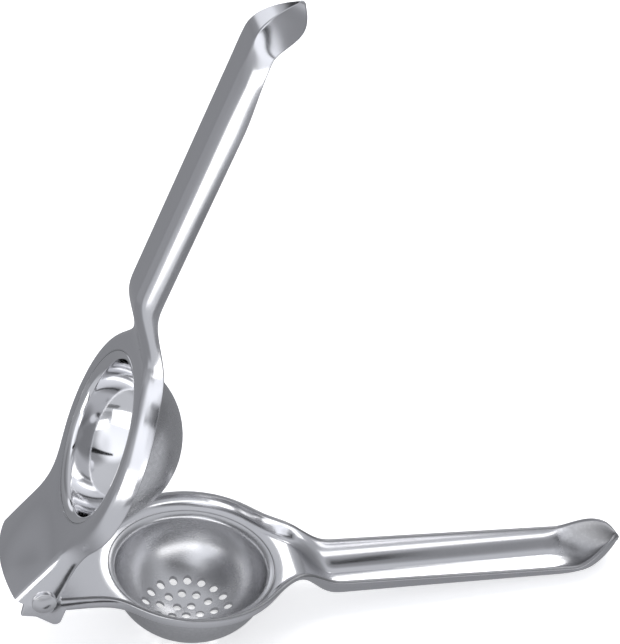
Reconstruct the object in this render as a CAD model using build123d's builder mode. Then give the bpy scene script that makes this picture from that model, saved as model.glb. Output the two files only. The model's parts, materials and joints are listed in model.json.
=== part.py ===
from build123d import *
import os
from math import acos, asin, atan2, degrees, hypot, sqrt

# Hinged lemon squeezer: two pressed steel levers riveted together at the broad end. The lower one
# holds the strainer bowl, the upper one the press dome. Sizes are in millimetres.
#
# Each lever is drawn flat in a frame of its own: X runs from the hinge line to the handle's tip, Z = 0
# is the outer face of its web, and +Z points at the other lever. Both are then set in the standing
# pose, with the lower lever resting on its bowl and on the underside of its handle.

# Sheet and cups
sheet = 1.5  # thickness of both levers
cup_wall = 1.2  # thickness of the bowl and the dome
mouth_radius = 30.0  # round hole in either web
cup_x = mouth_radius + 25.5  # hinge line to the axis of the bowl and of the dome
weld_gap = 0.02  # bowl or dome to the hole that it is welded into
bowl_lip_width = 2.4  # from the hole to the inside of the bowl
bowl_radius = mouth_radius - bowl_lip_width  # inside, below the lip
bowl_depth = 22.6  # inside, from the lip to the point of its ellipse
bowl_lip = 3.1  # height of the rounded lip
foot_radius = 4.5  # flat struck in the bottom of the bowl
dome_lip_width = 1.8  # from the hole to the outside of the dome
dome_radius = mouth_radius - dome_lip_width  # outside, beyond the lip
dome_reach = dome_radius - 1.9  # outside, from the lip to the crown
dome_lip = 3.2
crown_radius = 2.5  # flat at the dome's crown
drain_radius = 1.6
drain_rings = ((5.2, 6), (10.4, 12), (15.4, 18))  # circle radius and count

# Hinge
ear_face = 20.7  # outer face of the lower lever's ears, from the middle plane
side_gap = 0.45  # ears to the upper lever's cheeks
lower_pin_z = 7.9  # hinge line above the lower web's outer face
upper_pin_z = 1.7  # hinge line inside the upper web's outer face
rivet_radius = 2.5
rivet_clearance = 0.05
head_radius = 4.2
head_height = 2.4
head_dome = 0.9
head_gap = 0.1
tail_radius = 4.0
tail_height = 1.5
opening_angle = 70.0  # between the two webs, as the squeezer stands

# Lower lever
lower_web_end = 6.0  # hinge end of the web
lower_ring_radius = mouth_radius + 5.8  # at the edge of the flange
lower_ring_foot = lower_ring_radius - 1.5  # at the web
lower_flange = 6.1  # height of the flange round the ring
lower_neck = (cup_x + 36.0, cup_x + 53.5)  # where the web steps down to the handle's floor
lower_handle_z = -12.1  # outer face of the floor behind the neck
lower_handle_rise = 0.0325  # slope of the floor
lower_wall = 10.6  # height of the handle's walls behind the neck
lower_edge_rise = 0.005  # slope of the handle's edges
lower_neck_fillet = 33.0  # between ring and handle
lower_hinge_fillet = 18.0  # between ring and ears
lower_corner = (2.8, 2.5)  # rounding between web and wall, at the ring and along the handle
lower_spoon = (200.0, 221.6, 0.0, 3.6)  # start, tip, share where its rim rises, fall to the tip
ear_radius = 4.8
ear_tab = ((-1.6, 1.7, 2.5), (4.6, -2.9, 2.1), (6.4, 2.0, 1.8))  # rounded corners: centre, radius

# Upper lever
tongue_end = -3.0  # hinge end of the crowned tongue
tongue_start = cup_x - 35.5  # where the tongue leaves the plane of the ring
crown_start = tongue_start + 8.0  # where its crown begins
tongue_slope = 0.31
tongue_crown = 3.9
upper_ring_radius = lower_ring_radius + 3.5
upper_ring_foot = upper_ring_radius - 2.7
upper_flange = 6.4
upper_neck = (cup_x + 34.5, cup_x + 59.0)
upper_handle_z = -11.6
upper_handle_rise = -0.036
upper_wall = 7.6
upper_edge_rise = -0.0315
upper_neck_fillet = 40.0
upper_hinge_fillet = 30.0
upper_corner = (2.6, 1.4)
upper_spoon = (200.5, 222.8, 0.2, 1.6)
upper_dip = (180.5, 203.5, 1.5)  # where the edges dip before the spoon: start, end, depth
cheek_end = (-8.4, -3.2)

# Both handles
handle_half = 12.5  # half the width at the edges
handle_foot = 6.9  # half the width of the floor
tip_sheet = 1.6
tip_wall = 1.0  # height of the wall left at the tip
rim_rise = 7.3  # highest point of the spoon's rim above the handle's edges
neck_lead = 8.0  # the ring's flange begins to turn into the neck this far before it
handle_lead = 6.0  # the neck has become the handle, and the handle the spoon, within this


def ease(x, start, end):
    """Smooth step from 0 at start to 1 at end."""
    share = min(max((x - start) / (end - start), 0.0), 1.0)
    return share * share * (3 - 2 * share)


def outline(x, ring_radius, hinge_half, hinge_fillet, handle_width, neck_fillet):
    """Half the width at x: straight hinge end, round ring and handle, joined by fillet arcs."""
    along = x - cup_x
    half, fillet_radius = (handle_width, neck_fillet) if along > 0 else (hinge_half, hinge_fillet)
    along = abs(along)
    centre = sqrt((ring_radius + fillet_radius) ** 2 - (half + fillet_radius) ** 2)
    if along < centre * ring_radius / (ring_radius + fillet_radius):
        return sqrt(ring_radius**2 - along**2)
    if along < centre:
        return half + fillet_radius - sqrt(fillet_radius**2 - (centre - along) ** 2)
    return half


def spoon(x, start, tip, rim_start, rim_dip):
    """How far the handle's end has closed at x: share of width left, rise of rim, rise of floor."""
    share = min(max((x - start) / (tip - start), 0.0), 0.98)
    width = (1 - share**2) ** 0.85
    rim = rim_rise * ease(share, rim_start, 0.78) - rim_dip * max((share - 0.78) / 0.22, 0.0) ** 2
    return width, rim, max((share - 0.42) / 0.58, 0.0) ** 1.6


def lower_section(x):
    """Edge and foot of the lower lever's wall at x, then its corner rounding and its crown."""
    step = ease(x, *lower_neck)
    width, rim, rise = spoon(x, *lower_spoon)
    handle_x = max(x - lower_neck[1], 0.0)
    floor = lower_handle_z * step + lower_handle_rise * handle_x
    edge = lower_flange + (lower_handle_z + lower_wall - lower_flange) * step
    floor += (edge + rim_rise - lower_spoon[3] - tip_wall - floor) * rise
    edge += lower_edge_rise * handle_x + rim
    hinge_side = (ear_face, lower_hinge_fillet)
    edge_half = outline(x, lower_ring_radius, *hinge_side, handle_half, lower_neck_fillet)
    foot_half = outline(x, lower_ring_foot, *hinge_side, handle_foot, lower_neck_fillet)
    corner = lower_corner[0] + (lower_corner[1] - lower_corner[0]) * step
    return Vector(edge_half * width, edge), Vector(foot_half * width, floor), corner * width, 0.0


def upper_section(x):
    """The same for the upper lever, whose tongue rises and is crowned towards the hinge."""
    step = ease(x, *upper_neck)
    width, rim, rise = spoon(x, *upper_spoon)
    handle_x = max(x - upper_neck[1], 0.0)
    tongue = max(tongue_start - x, 0.0)
    floor = upper_handle_z * step + upper_handle_rise * handle_x - tongue_slope * tongue
    edge = upper_flange + (upper_handle_z + upper_wall - upper_flange) * step
    edge += upper_edge_rise * handle_x - upper_dip[2] * ease(x, *upper_dip[:2])
    floor += (edge + rim_rise - upper_spoon[3] - tip_wall - floor) * rise
    edge += rim
    hinge_side = (ear_face + side_gap + sheet, upper_hinge_fillet)
    edge_half = outline(x, upper_ring_radius, *hinge_side, handle_half, upper_neck_fillet)
    foot_half = outline(x, upper_ring_foot, *hinge_side, handle_foot, upper_neck_fillet)
    corner = upper_corner[0] + (upper_corner[1] - upper_corner[0]) * step
    crown = tongue_crown * ease(-x, -crown_start, -tongue_end)
    return Vector(edge_half * width, edge), Vector(foot_half * width, floor), corner * width, crown


def outer_trough(x, section):
    """Points of the pressing's outside at x: edge, foot, middle of the web, and the rounding."""
    edge, foot, corner, crown = section(x)
    middle = Vector(0, foot.Y - 2 * crown)
    return edge, foot, middle, min(corner, 0.45 * (edge - foot).length)


def inner_trough(x, section):
    """The same for its inside, one sheet's thickness away and carried on above the edge."""
    edge, foot, middle, corner = outer_trough(x, section)
    ahead, behind = section(x + 0.5), section(x - 0.5)
    wall = sheet * hypot(1, ahead[0].X - behind[0].X)
    web = sheet * hypot(1, ahead[1].Y - behind[1].Y)
    up, across = (edge - foot).normalized(), (middle - foot).normalized()
    edge -= Vector(up.Y, -up.X) * wall
    web_point = foot - Vector(-across.Y, across.X) * web
    offset = edge - web_point
    turn = up.X * across.Y - up.Y * across.X
    foot = web_point + across * ((up.X * offset.Y - up.Y * offset.X) / turn)
    foot = Vector(max(foot.X, 0.25), foot.Y)
    edge = Vector(max(edge.X, 0.35), edge.Y) + up * 2
    middle = foot + across * (foot.X / -across.X)
    return edge, foot, middle, min(max(corner - sheet, 0.3), 0.45 * (edge - foot).length, 0.8 * foot.X)


def trough(edge, foot, middle, rounding):
    """Draw a trough: straight top, two walls, rounded corners and a web."""
    wall_end = foot + (edge - foot).normalized() * rounding
    web_end = foot + (middle - foot).normalized() * min(rounding, 0.8 * foot.X)
    with BuildLine() as profile:
        for side in (1, -1):
            Line((side * edge.X, edge.Y), (side * wall_end.X, wall_end.Y))
            Bezier(*((side * p.X, p.Y) for p in (wall_end, foot, web_end)))
        Bezier((web_end.X, web_end.Y), (0, middle.Y), (-web_end.X, web_end.Y))
        Line((-edge.X, edge.Y), (edge.X, edge.Y))
    make_face(profile.edges())


def spread(start, end, count):
    """Evenly spaced places from start up to, but not including, end."""
    return [start + (end - start) * i / count for i in range(count)]


def stations(first, neck, spoon_x, last):
    """Where the cross-sections stand along a lever: closest where the form changes most."""
    return [
        *spread(first, cup_x - bowl_radius, 5),
        *spread(cup_x - bowl_radius, neck[0] - neck_lead, 9),
        *spread(neck[0] - neck_lead, neck[1] + handle_lead, 9),
        *spread(neck[1] + handle_lead, spoon_x - handle_lead, 4),
        *spread(spoon_x - handle_lead, last, 10),
        last,
    ]


def cut_mouth():
    """Cut the round hole that holds the bowl or the dome."""
    with BuildSketch() as mouth:
        with Locations((cup_x, 0)):
            Circle(mouth_radius)
    extrude(mouth.sketch, amount=lower_flange, both=True, mode=Mode.SUBTRACT)


def cut_rivet_holes(height):
    with BuildSketch(Plane.XZ) as hole:
        with Locations((0, height)):
            Circle(rivet_radius + rivet_clearance)
    extrude(hole.sketch, amount=2 * ear_face, both=True, mode=Mode.SUBTRACT)


def cup(inner_radius, outer_radius, inner_reach, outer_reach, lip_z, inner_rim, outer_rim, foot):
    """Revolve a drawn cup about its axis: a lip that curves in from the rim, then an ellipse."""
    rim_x = cup_x + mouth_radius - weld_gap
    turn = 1 if lip_z > 0 else -1
    ends = []
    with BuildSketch(Plane.XZ) as half_section:
        with BuildLine():
            for radius, reach, rim_z in (
                (inner_radius, inner_reach, inner_rim),
                (outer_radius, outer_reach, outer_rim),
            ):
                Bezier((rim_x, rim_z), (cup_x + radius, rim_z), (cup_x + radius, lip_z))
                arc = EllipticalCenterArc(
                    (cup_x, lip_z), radius, reach, arc_size=turn * degrees(acos(foot / radius))
                )
                ends.append((cup_x, (arc @ 1).Y))
                if foot > 0:
                    Line(arc @ 1, ends[-1])
            Line(*ends)
            Line((rim_x, inner_rim), (rim_x, outer_rim))
        make_face()
    revolve(half_section.sketch, axis=Axis((cup_x, 0, 0), (0, 0, 1)))


# Lower lever: web, flange, neck and handle in one pressing, with an ear on each side of the hinge
with BuildPart() as lower_lever:
    for x in stations(lower_web_end, lower_neck, *lower_spoon[:2]):
        with BuildSketch(Plane.YZ.offset(x)):
            trough(*outer_trough(x, lower_section))
    loft()
    for x in stations(lower_web_end - 1, lower_neck, lower_spoon[0], lower_spoon[1] - tip_sheet):
        with BuildSketch(Plane.YZ.offset(x)):
            trough(*inner_trough(x, lower_section))
    loft(mode=Mode.SUBTRACT)
    cut_mouth()
    for side in (-1, 1):
        with BuildSketch(Plane.XZ.offset(side * (ear_face - sheet / 2))):
            with Locations((0, lower_pin_z)):
                Circle(ear_radius)
            for centre_x, centre_z, corner_radius in ear_tab:
                with Locations((centre_x, centre_z)):
                    Circle(corner_radius)
            make_hull()
        extrude(amount=sheet / 2, both=True)
    cut_rivet_holes(lower_pin_z)

# Upper lever: the same kind of pressing, broader, so that its flange closes over the lower one
with BuildPart() as upper_lever:
    for x in stations(tongue_end, upper_neck, *upper_spoon[:2]):
        with BuildSketch(Plane.YZ.offset(x)):
            trough(*outer_trough(x, upper_section))
    loft()
    for x in stations(tongue_end - 1, upper_neck, upper_spoon[0], upper_spoon[1] - tip_sheet):
        with BuildSketch(Plane.YZ.offset(x)):
            trough(*inner_trough(x, upper_section))
    loft(mode=Mode.SUBTRACT)
    cut_mouth()
    for side in (-1, 1):
        with BuildSketch(Plane.XZ.offset(side * (ear_face + side_gap + sheet / 2))):
            with BuildLine():
                crease = tongue_slope * (tongue_start - tongue_end)
                Polyline(
                    (tongue_start, 1),
                    (tongue_end, 1 - crease),
                    cheek_end,
                    (cheek_end[0] + 1.2, upper_pin_z + 1.2),
                    (-3.4, upper_flange),
                    (tongue_start, upper_flange),
                    close=True,
                )
            make_face()
        extrude(amount=sheet / 2, both=True)
    cut_rivet_holes(upper_pin_z)

# Strainer bowl: drawn cup with a flat foot and drain holes
bowl_lip_z = sheet - bowl_lip
with BuildPart() as strainer_bowl:
    cup(bowl_radius, bowl_radius + cup_wall, bowl_depth, bowl_depth + cup_wall, bowl_lip_z,
        sheet, 0.0, foot_radius)
    with BuildSketch(Plane.XY.offset(-2 * bowl_depth)):
        with Locations((cup_x, 0)):
            Circle(drain_radius)
            for circle_radius, count in drain_rings:
                with PolarLocations(circle_radius, count):
                    Circle(drain_radius)
    extrude(amount=2 * bowl_depth, mode=Mode.SUBTRACT)

# Press dome: drawn cup whose bottom presses the fruit
with BuildPart() as press_dome:
    cup(dome_radius - cup_wall, dome_radius, dome_reach - cup_wall, dome_reach, dome_lip,
        0.0, sheet, crown_radius)

# Rivets: one through each pair of cheek and ear, headed outside and closed inside
rivets = []
for side in (-1, 1):
    with BuildPart() as hinge_rivet:
        head_z = ear_face + side_gap + sheet + head_gap
        tail_z = ear_face - sheet
        ball_radius = (head_radius**2 + head_dome**2) / (2 * head_dome)
        with BuildSketch(Plane.YZ) as half_rivet:
            with BuildLine():
                Polyline(
                    (tail_z - tail_height, 0),
                    (tail_z - tail_height, tail_radius - 1),
                    (tail_z - 0.4, tail_radius),
                    (tail_z, tail_radius),
                    (tail_z, rivet_radius),
                    (head_z, rivet_radius),
                    (head_z, head_radius),
                    (head_z + head_height - head_dome, head_radius),
                )
                CenterArc(
                    (head_z + head_height - ball_radius, 0),
                    ball_radius,
                    start_angle=0,
                    arc_size=degrees(asin(head_radius / ball_radius)),
                )
                Line((head_z + head_height, 0), (tail_z - tail_height, 0))
            make_face()
        revolve(axis=Axis.Y)
        if side < 0:
            mirror(about=Plane.XZ, mode=Mode.REPLACE)
    rivets.append(hinge_rivet)

# Standing pose: tip the lower lever until the underside of its handle touches, with the foot's front edge
foot_depth = (bowl_depth + cup_wall) * sqrt(1 - (foot_radius / (bowl_radius + cup_wall)) ** 2)
foot_z = bowl_lip_z - foot_depth
foot_x = cup_x + foot_radius
underside = [(x, lower_section(x)[1].Y) for x in spread(lower_neck[1], lower_spoon[1], 60)]
lean = min(degrees(atan2(z - foot_z, x - foot_x)) for x, z in underside)

stand = Location((0, 0, 0), (0, lean, 0))
hinge = Location((0, 0, lower_pin_z), (0, -opening_angle, 0))
turn_over = Location((0, 0, 0), (180, 0, 0)) * Location((0, 0, -upper_pin_z))

placed = {
    "lower_lever": (lower_lever, stand),
    "strainer_bowl": (strainer_bowl, stand),
    "left_rivet": (rivets[1], stand * Location((0, 0, lower_pin_z))),
    "right_rivet": (rivets[0], stand * Location((0, 0, lower_pin_z))),
    "upper_lever": (upper_lever, stand * hinge * turn_over),
    "press_dome": (press_dome, stand * hinge * turn_over),
}
for name, (piece, place) in placed.items():
    piece.part.move(place)

# The origin is the middle of the bottom of the whole squeezer's box
boxes = [piece.part.bounding_box() for piece, _ in placed.values()]
low_x, high_x = min(b.min.X for b in boxes), max(b.max.X for b in boxes)
to_origin = Location((-(low_x + high_x) / 2, 0, -min(b.min.Z for b in boxes)))

os.makedirs("parts", exist_ok=True)
for name, (piece, place) in placed.items():
    piece.part.move(to_origin)
    piece.part.label = name
    export_step(piece.part, f"parts/{name}.step")

pin_height = lower_pin_z
hinge_line = (to_origin * stand * Location((0, 0, pin_height))).position
print("lean", lean, "hinge line", hinge_line, "shift", to_origin.position)
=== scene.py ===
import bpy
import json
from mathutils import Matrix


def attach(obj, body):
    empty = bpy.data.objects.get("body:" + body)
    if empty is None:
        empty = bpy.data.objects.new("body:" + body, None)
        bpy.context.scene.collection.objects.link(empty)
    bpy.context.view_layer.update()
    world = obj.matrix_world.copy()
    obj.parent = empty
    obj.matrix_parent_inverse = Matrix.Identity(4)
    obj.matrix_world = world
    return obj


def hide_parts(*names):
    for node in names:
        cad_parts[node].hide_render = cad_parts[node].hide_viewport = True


bl_info = {
    "name": "Hinged lemon squeezer",
    "version": (1, 0, 0),
    "blender": (4, 5, 0),
    "location": "3D View > Sidebar > Squeezer",
    "description": "Dresses the pressed-steel lemon squeezer: levers, bowl, dome, rivets, stage",
    "category": "Object",
}

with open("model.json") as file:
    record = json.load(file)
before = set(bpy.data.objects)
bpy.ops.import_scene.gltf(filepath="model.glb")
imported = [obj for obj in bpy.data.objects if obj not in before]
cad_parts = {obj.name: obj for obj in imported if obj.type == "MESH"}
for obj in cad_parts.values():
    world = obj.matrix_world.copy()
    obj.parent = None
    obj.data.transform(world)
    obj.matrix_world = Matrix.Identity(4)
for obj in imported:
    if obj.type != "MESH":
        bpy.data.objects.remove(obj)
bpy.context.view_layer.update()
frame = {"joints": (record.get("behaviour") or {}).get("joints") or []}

import json
import math

import bmesh
import bpy
import numpy as np
from bpy.props import FloatProperty, FloatVectorProperty, PointerProperty
from mathutils import Vector

# The forms are worked out in millimetres, each lever in a frame of its own: x from the hinge line
# along the web, y along the hinge line, z from the web's outer face towards the other lever.
MM = 0.001
CUP_X = 55.5  # hinge line to the axis of the cups
PIN_LOWER, PIN_UPPER = 7.9, 1.7  # height of the hinge line in the lower and the upper frame


def mm(length):
    """A length from the settings or the frame, which are in metres, in millimetres. It is rounded
    to a hundred-thousandth, because the settings are kept in single precision."""
    return round(length * 1000, 5)


HINGE = [mm(value) for value in frame["joints"][0]["pos_m"]]

# The two levers. Lengths are in millimetres, and pairs are start and end, or ring and handle:
#   web_end       x at which the web ends by the hinge
#   ring_edge     radius of the ring at the edge of its wall, and ring_foot at the foot
#   flange        height of the ring's wall
#   neck          x at which the step from the ring to the handle starts and ends
#   floor         height of the handle's floor where the neck ends, and floor_rise its slope
#   wall          height of the handle's wall where the neck ends
#   edge_rise     slope of the wall's edge along the handle
#   neck_fillet   fillet in plan between the ring and the handle
#   hinge_half    half the width at the hinge, and hinge_fillet the fillet in plan next to it
#   corner        outer rounding between wall and web, and hollow the inner one
#   belly         how far the wall swells out, as a share of its straight
#   spoon         x at which the spoon end starts, and x of the tip
#   rim           share of the spoon at which its edge starts to swell, and its drop at the tip
#   dip           x at which the edge starts and ends sinking, and by how much it sinks
#   follow        1 where the spoon's floor curls up to the sunk edge, 0 where to the level one
#   tongue        x at which the web bends away from the other lever, and the slope from there
#   crown         x at which the web starts to arch across its width, and the arch at its end
#   scoop         extra outer rounding in the spoon end
#   dish          how far the web is dished round the mouth
#   ears          planes of the plate that each rivet goes through, counted from the middle
#   ear_circles   circles (x, z, radius) that the outline of this plate is stretched round
LOWER = dict(
    web_end=6.0, ring_edge=35.8, ring_foot=34.3, flange=6.1, neck=(91.5, 109.0), floor=-12.1,
    floor_rise=0.0325, wall=10.6, edge_rise=0.005, neck_fillet=33.0, hinge_half=20.7,
    hinge_fillet=18.0, corner=(3.6, 2.5), hollow=(2.2, 2.8), belly=(0.03, 0.07),
    spoon=(200.0, 221.6), rim=(0.0, 3.6), dip=(180.0, 203.0, 0.0), follow=0, tongue=(20.0, 0.0),
    crown=(28.0, 0.0), scoop=1.5, dish=-0.5, ears=(19.18, 20.72),
    ear_circles=[(0, PIN_LOWER, 4.8), (-1.6, 1.7, 2.5), (4.6, -2.9, 2.1), (6.4, 2.0, 1.8)],
)
UPPER = dict(
    web_end=-3.0, ring_edge=39.3, ring_foot=36.6, flange=6.4, neck=(90.0, 114.5), floor=-11.6,
    floor_rise=-0.036, wall=7.6, edge_rise=-0.0315, neck_fillet=40.0, hinge_half=22.65,
    hinge_fillet=30.0, corner=(3.4, 0.9), hollow=(2.4, 2.4), belly=(0.04, 0.11),
    spoon=(200.5, 222.8), rim=(0.2, 1.6), dip=(180.5, 203.5, 1.5), follow=1, tongue=(20.0, 0.31),
    crown=(28.0, 3.9), scoop=0.0, dish=0.5, ears=(21.13, 22.67),
    ear_circles=[(12.0, 1.6, 0.5), (-2.6, -4.0, 0.5), (-7.8, -3.0, 0.5), (-6.6, 2.6, 0.6),
                 (-3.2, 5.7, 0.7), (12.0, 5.9, 0.5)],
)
HANDLE_EDGE, HANDLE_FOOT = 12.5, 6.9  # half the handle's width at the edge and foot of its walls
HINGE_CORNER = 2.6  # outer rounding between wall and web at the hinge
HINGE_ENDS = (6, 26)  # x at which this rounding starts to become the ring's, and has become it
# reach of the blend along the lever: in the spoon end, and what the neck and the ring add to it
BLEND_LEAST, BLEND_MORE = 0.9, 3.2
BLEND_RAMP = 12  # length of its growth from the web's end, and of its full reach past the neck
TONGUE_BEND = 8.0  # half the length over which the tongue bends
TIP_POWER, TIP_SHARE = 0.85, 0.995  # how the width runs out at the tip, and where it stops at last
RIM_SWELL, RIM_FULL = 7.3, 0.78  # swell of the spoon's edge, share of the spoon where it is full
CURL_START = 0.3  # share of the spoon at which its floor starts to curl up
TIP_WALL = 1.0  # height of the edge over the curled floor at the tip
TIP_SETBACK = 1.6  # how far the inside of the spoon end lies behind its outside at the tip
SPOON_FORM = (-5, 9)  # the spoon's rounding comes in from 5 mm before its start to 9 mm after it
SPOON_SATIN_AND_SHADE = (-9, 8)  # and so do the satin and the painted shade inside it, a little earlier
# largest share that the rounding takes of the wall's outer face, of its inner face and of the web
CORNER_MOST, HOLLOW_MOST, WEB_MOST = 0.5, 0.86, 0.9
LEAST_FOOT, LEAST_EDGE = 0.02, 0.03  # least half width of the inside, for the tip
DISH_WIDTH = 4.0  # width of the dished band round the mouth
ROUND_MOST = 0.3  # largest share of the wall that the rounding of its edge takes
FLAT_SHARE = 0.995  # share of the web between its corners over which its points are spread
STATION_STEP = 0.8  # between the stations along a lever
SPOON_STATIONS, SPOON_LEAD = 72, 4  # stations of the spoon end, and how far before it they start
EDGE_FACETS = 6  # facets round the edge of the sheet
# the plates that the rivets go through: bevel, its first facet as a share of it, points all round
EAR_BEVEL, EAR_FACET, EAR_POINTS = 0.35, 0.3, 128
RIVET_SECTORS = 96  # cells round a rivet
WALL_CELLS, CORNER_CELLS, WEB_CELLS = 10, 8, 44  # cells across a wall, a corner and half the web

EVEN_OUT = 18.0  # radius out to which both faces of a cup share their rings, for straight holes
CUP_SECTORS = 288  # cells round a cup
CUP_ROWS = (56, 40, 15)  # points of a cup's section out to EVEN_OUT, up to the lip, over the lip
LIP_RISE, LIP_BEND = 0.5, 0.25  # rise of the lip's rim, and of its bend as a share of its width
CUP_GAP = 0.02  # gap between a cup's rim and the mouth that it sits in
DRAIN_RINGS = ((5.2, 6), (10.4, 12), (15.4, 18))  # radius of a ring of drain holes, and how many

MERGE, SLIVER = 4e-6, 2e-6  # metres: points this close are merged, edges this short dissolved
FAR = 2.0  # distance to an edge at which no rubbing is left
SPOON_WEAR_AND_SHADE, CUP_WEAR = 1.4, 0.45  # distances that stand for the satin with painted shade in the spoon, and for the satin on the cups
MOUTH_WEAR = 0.3  # least distance that counts at the mouth, where the rubbing is slight
SHARP = 32  # degrees past which an edge is shaded sharp

FLOOR_REACH = 4.0  # metres from the middle of the floor to its edge
# Studio lamps: name, place, where it points, size, watts, whether the steel mirrors it
LAMPS = (
    ("Overhead", (0.0, 0.1, 1.25), (0, 0, 0), (0.9, 0.7), 6.0, False),
    ("Front_left", (-0.85, -0.72, 0.24), (0, 0, 0.14), (0.9, 0.44), 2.0, True),
    ("Front", (0.2, -0.95, 0.44), (0.05, 0, 0.05), (1.3, 0.26), 1.4, True),
    ("Back", (0.54, 0.85, 0.72), (0.06, 0, 0.02), (0.5, 0.36), 1.1, True),
)
# Reflector cards, seen only in the steel: name, glow, corners. Card_table is a painted reflection
# of a pale table; the dark Card_gap is a painted dark reflection in the levers, and Card_hinge is
# painted shade, the squeezer's shadow on the table in front of the hinge as the cheek and the
# rivet mirror it.
CARDS = (
    ("Card_table", 0.5,
     ((-9, -9, 0.0006), (9, -9, 0.0006), (9, 9, 0.0006), (-9, 9, 0.0006))),
    ("Card_gap", 0.01,
     ((0.20, -0.33, 0.33), (0.20, -0.26, 0.38), (-0.245, -0.145, 0.515), (-0.245, -0.165, 0.495))),
    ("Card_hinge", 0.02,
     ((-0.110, -0.052, 0.002), (-0.086, -0.069, 0.002), (-0.079, -0.056, 0.002),
      (-0.100, -0.0435, 0.002))),
    ("Card_left", 0.6,
     ((-0.80, 0.06, 0.0), (-0.70, 0.40, 0.0), (-0.70, 0.40, 0.26), (-0.80, 0.06, 0.26))),
    ("Card_front", 0.16,
     ((-0.55, -0.75, 0.001), (0.5, -0.75, 0.001), (0.5, -0.35, 0.001), (-0.35, -0.35, 0.001))),
)
DAYLIGHT = (0.96, 0.98, 1.04, 1)  # tint of the cards and of the room
# glow of the room's walls: level with the object, its growth to the ceiling, and its least
ROOM_LEVEL, ROOM_RISE, ROOM_LEAST = 0.38, 0.3, 0.02
# Soft patches on the room's walls: direction, cosines at which the patch starts and is full, gain
ROOM_PATCHES = (
    ((0.3, 0.81, 0.51), 0.82, 0.97, 0.05),
    ((0.19, -0.9, 0.36), 0.80, 0.97, 0.2),
    ((0.9, 0.1, 0.2), 0.75, 0.97, -0.2),
    ((0.15, -0.62, 0.77), 0.84, 0.96, -0.32),
    ((-0.65, 0.38, 0.65), 0.86, 0.97, -0.2),
    ((-0.58, 0.81, 0.05), 0.6, 0.95, -0.1),
    ((-0.46, -0.62, 0.64), 0.80, 0.93, 0.7),
    ((-0.24, 0.89, 0.36), 0.965, 0.985, 0.65),
    ((-0.02, 0.88, 0.47), 0.985, 0.995, -0.6),
)


# ---------------------------------------------------------------- sizes and finishes


class SqueezerSizes(bpy.types.PropertyGroup):
    """Sizes that the dressed pieces take from the frame or add to it."""

    lean: FloatProperty(
        name="Lean", description="How far the lower lever tips towards its handle",
        default=math.radians(6.2427), subtype="ANGLE",
    )
    opening: FloatProperty(
        name="Opening", description="Angle between the two webs as the squeezer stands",
        default=math.radians(70), subtype="ANGLE",
    )
    sheet: FloatProperty(
        name="Sheet", description="Thickness of both levers", default=0.0015, unit="LENGTH",
    )
    edge_round: FloatProperty(
        name="Edge rounding", description="Rounding of the sheet's deburred edges",
        default=0.00045, unit="LENGTH",
    )
    mouth: FloatProperty(
        name="Mouth radius", description="Hole in either web that holds the bowl or the dome",
        default=0.030, unit="LENGTH",
    )
    seam: FloatProperty(
        name="Seam", description="Bevel along the seam between cup and web",
        default=0.00012, unit="LENGTH",
    )
    drain: FloatProperty(
        name="Drain holes", description="Radius of a drain hole", default=0.0016, unit="LENGTH",
    )


class SqueezerFinish(bpy.types.PropertyGroup):
    """Colours and wear of the steel."""

    sheet_color: FloatVectorProperty(
        name="Sheet steel", description="Tint of the polished levers",
        default=(0.74, 0.74, 0.755), subtype="COLOR", size=3, min=0, max=1,
    )
    bowl_color: FloatVectorProperty(
        name="Bowl steel", description="Tint of the satin bowl",
        default=(0.70, 0.70, 0.71), subtype="COLOR", size=3, min=0, max=1,
    )
    dome_color: FloatVectorProperty(
        name="Dome steel", description="Tint of the bright dome",
        default=(0.78, 0.78, 0.79), subtype="COLOR", size=3, min=0, max=1,
    )
    rivet_color: FloatVectorProperty(
        name="Rivet steel", description="Tint of the rivets",
        default=(0.66, 0.66, 0.67), subtype="COLOR", size=3, min=0, max=1,
    )
    polish: FloatProperty(
        name="Polish", description="Roughness of the polished sheet", default=0.14, min=0.02,
        max=0.6,
    )
    brushing: FloatProperty(
        name="Brushing", description="Depth of the polishing lines", default=0.05, min=0, max=1,
    )


class SqueezerStage(bpy.types.PropertyGroup):
    """Camera, floor and light."""

    camera_at: FloatVectorProperty(
        name="Camera", description="Where the camera stands", size=3, unit="LENGTH",
        default=(-0.11704, -0.47448, 0.45696), subtype="TRANSLATION",
    )
    camera_turn: FloatVectorProperty(
        name="Camera turn", description="How the camera is turned", size=3, unit="ROTATION",
        default=(0.974822, -0.011121, -0.218967), subtype="EULER",
    )
    lens: FloatProperty(
        name="Lens", description="Focal length in millimetres", default=98.614, min=20, max=300,
    )
    lens_shift: FloatVectorProperty(
        name="Lens shift", description="How far the view is shifted, as shares of its width",
        default=(0.00573, -0.00166), size=2,
    )
    floor_color: FloatVectorProperty(
        name="Floor", description="Colour of the floor", default=(0.96, 0.96, 0.96),
        subtype="COLOR", size=3, min=0, max=1,
    )
    floor_glow: FloatProperty(
        name="Floor glow", description="Light that the floor gives off by itself", default=0.45,
        min=0, max=2,
    )
    light: FloatProperty(
        name="Light", description="Strength of the studio lights", default=1.0, min=0, max=10,
    )


def scene_settings():
    """The scene's sizes and finishes."""
    return bpy.context.scene.squeezer_sizes, bpy.context.scene.squeezer_finish


# ---------------------------------------------------------------- curves and grids


def ease(x, start, end):
    """Smooth step: 3 s squared minus 2 s cubed, where s goes from 0 at start to 1 at end."""
    share = np.clip((x - start) / (end - start), 0, 1)
    return share * share * (3 - 2 * share)


def quadratic(start, control, end, t):
    """Quadratic curve: (1 - t) squared of the start, 2 t (1 - t) of the control point and
    t squared of the end."""
    return start * (1 - t) ** 2 + control * 2 * t * (1 - t) + end * t**2


def unit(y, z):
    """Length of a step in the section, and its direction."""
    length = np.hypot(y, z)
    return length, y / length, z / length


def cells(grid):
    """Quads of a grid of point numbers."""
    return np.stack([grid[:-1, :-1], grid[1:, :-1], grid[1:, 1:], grid[:-1, 1:]], -1)


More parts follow.
